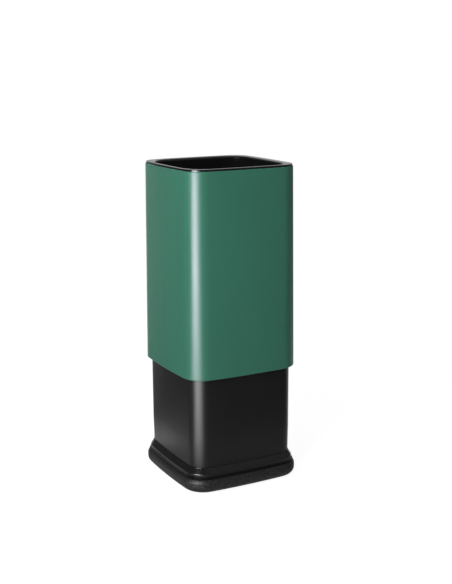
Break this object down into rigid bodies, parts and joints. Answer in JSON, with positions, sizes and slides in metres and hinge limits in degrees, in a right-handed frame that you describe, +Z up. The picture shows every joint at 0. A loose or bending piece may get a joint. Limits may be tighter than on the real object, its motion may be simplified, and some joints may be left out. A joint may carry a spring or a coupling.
{
  "type": "litter bin",
  "caption": "Square indoor litter bin: a lift-off green sleeve with a black rim slides up off an inner bucket that stands on a stepped, weighted base.",
  "frame": {"origin": "on the floor under the middle of the bin, at the undersides of the feet", "axes": "+Z up, along the sleeve's travel; the faces look along X and Y, and -Y is the broad face in the picture"},
  "size_m": [0.1812, 0.1812, 0.4529],
  "materials": {
    "green_sleeve": "satin moulded, deep green",
    "black_rim": "glossy black",
    "black_bucket": "satin black",
    "black_base": "fine-grained matt black",
    "galvanised_plate": "galvanised sheet",
    "zinc_plated_steel": "zinc plated",
    "grey_rubber": "dark grey rubber"
  },
  "bodies": {
    "base": {"base_plinth": "black_base", "inner_bucket": "black_bucket", "ballast_plate": "galvanised_plate", "base_screw_1": "zinc_plated_steel", "base_screw_2": "zinc_plated_steel", "base_screw_3": "zinc_plated_steel", "base_screw_4": "zinc_plated_steel", "foot_1": "grey_rubber", "foot_2": "grey_rubber", "foot_3": "grey_rubber", "foot_4": "grey_rubber"},
    "sleeve": {"outer_sleeve": "green_sleeve", "top_rim": "black_rim", "rim_screw_1": "zinc_plated_steel", "rim_screw_2": "zinc_plated_steel", "rim_screw_3": "zinc_plated_steel", "rim_screw_4": "zinc_plated_steel"}
  },
  "joints": [
    {"name": "sleeve_lift", "type": "slide", "parent": "base", "child": "sleeve", "axis": [0, 0, 1], "range_m": [-0.1412, 0.15]}
  ]
}
